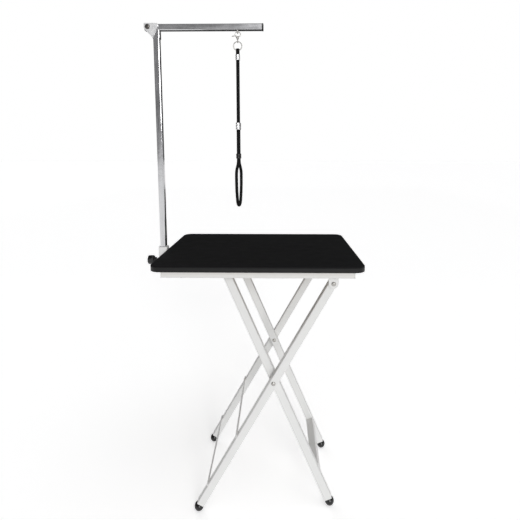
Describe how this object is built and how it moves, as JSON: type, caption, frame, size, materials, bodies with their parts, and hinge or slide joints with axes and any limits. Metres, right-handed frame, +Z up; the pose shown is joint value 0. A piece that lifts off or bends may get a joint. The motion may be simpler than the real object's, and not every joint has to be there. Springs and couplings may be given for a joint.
{
  "type": "folding grooming table",
  "caption": "Folding pet grooming table on crossed square-tube legs, with a clamp-on chromed post and arm that carries a snap hook and an adjustable noose.",
  "frame": {"origin": "floor level under the middle of the box round the object, without its noose", "axes": "+Z up, +X along the table top away from the arm's post, +Y across the top to the back"},
  "size_m": [0.683, 0.457, 1.5428],
  "materials": {
    "mat_rubber": "matt textured",
    "edge_pvc": "satin black",
    "plywood": "sealed",
    "white_coat": "satin white powder coat",
    "chrome": "bright chrome plate",
    "zinc_steel": "bright zinc plate",
    "black_plastic": "gloss black",
    "white_plastic": "natural nylon",
    "black_cord": "woven nylon",
    "ferrule": "bright crimped"
  },
  "bodies": {
    "outer_frame": {"outer_leg_front": "white_coat", "outer_leg_back": "white_coat", "outer_foot_front": "black_plastic", "outer_foot_back": "black_plastic", "cross_rivet_front": "zinc_steel", "cross_rivet_back": "zinc_steel", "cross_washer_front": "white_plastic", "cross_washer_back": "white_plastic", "outer_strap_upper": "white_coat", "outer_strap_lower": "white_coat"},
    "inner_frame": {"inner_leg_front": "white_coat", "inner_leg_back": "white_coat", "inner_foot_front": "black_plastic", "inner_foot_back": "black_plastic", "inner_brace": "white_coat", "top_rod": "zinc_steel"},
    "table_top": {"table_board": "plywood", "edge_trim": "edge_pvc", "top_mat": "mat_rubber", "arm_socket": "white_coat", "post_bush": "white_plastic", "socket_bracket": "white_coat", "screw_boss": "zinc_steel", "cross_rail_left": "white_coat", "cross_rail_right": "white_coat", "rail_front": "white_coat", "rail_back": "white_coat", "hinge_ear_front": "white_coat", "hinge_ear_back": "white_coat", "hinge_rivet_front": "zinc_steel", "hinge_rivet_back": "zinc_steel", "rod_catch_front": "white_coat", "rod_catch_back": "white_coat", "rail_cap_front_left": "white_plastic", "rail_cap_front_right": "white_plastic", "rail_cap_back_left": "white_plastic", "rail_cap_back_right": "white_plastic"},
    "clamp": {"clamp_screw": "zinc_steel", "clamp_knob": "black_plastic"},
    "post": {"arm_post": "chrome", "post_plug": "black_plastic", "elbow_sleeve": "chrome", "elbow_plate_near": "chrome", "elbow_plate_far": "chrome", "elbow_bolt": "zinc_steel", "elbow_nut": "zinc_steel"},
    "arm": {"arm_tube": "chrome", "arm_cap_inner": "black_plastic", "arm_cap_outer": "black_plastic", "noose_staple": "zinc_steel"},
    "hook": {"snap_hook": "zinc_steel"},
    "gate": {"snap_gate": "zinc_steel"},
    "swivel": {"swivel_eye": "zinc_steel"},
    "noose": {"noose_ring": "zinc_steel", "noose_cord": "black_cord", "upper_ferrule": "ferrule", "lower_ferrule": "ferrule", "noose_loop": "black_cord"},
    "slider": {"noose_slider": "black_plastic"}
  },
  "joints": [
    {"name": "top_tilt", "type": "hinge", "parent": "outer_frame", "child": "table_top", "pos_m": [0.2589, 0, 0.7593], "axis": [0, 1, 0], "range_deg": [0, 90]},
    {"name": "inner_fold", "type": "hinge", "parent": "outer_frame", "child": "inner_frame", "pos_m": [0.082, 0, 0.4428], "axis": [0, 1, 0], "range_deg": [0, 44]},
    {"name": "clamp_turn", "type": "hinge", "parent": "table_top", "child": "clamp", "pos_m": [-0.314, 0, 0.784], "axis": [1, 0, 0], "continuous": true},
    {"name": "post_height", "type": "slide", "parent": "table_top", "child": "post", "axis": [0, 0, 1], "range_m": [-0.12, 0.03]},
    {"name": "elbow_fold", "type": "hinge", "parent": "post", "child": "arm", "pos_m": [-0.3128, 0, 1.532], "axis": [0, -1, 0], "range_deg": [0, 270]},
    {"name": "hook_swing", "type": "hinge", "parent": "arm", "child": "hook", "pos_m": [-0.033, 0, 1.515], "axis": [0, 1, 0], "range_deg": [-40, 24]},
    {"name": "gate_open", "type": "hinge", "parent": "hook", "child": "gate", "pos_m": [-0.038, 0, 1.5052], "axis": [0, 1, 0], "range_deg": [0, 25], "stiffness_Nm_per_rad": 0.002, "springref_deg": -9.74},
    {"name": "swivel_turn", "type": "hinge", "parent": "hook", "child": "swivel", "pos_m": [-0.033, 0, 1.48905], "axis": [0, 0, 1], "continuous": true},
    {"name": "ring_swing", "type": "hinge", "parent": "swivel", "child": "noose", "pos_m": [-0.033, 0, 1.48905], "axis": [0, 1, 0], "range_deg": [-20, 20]},
    {"name": "slider_slide", "type": "slide", "parent": "noose", "child": "slider", "axis": [0, 0, 1], "range_m": [0, 0.07]}
  ]
}
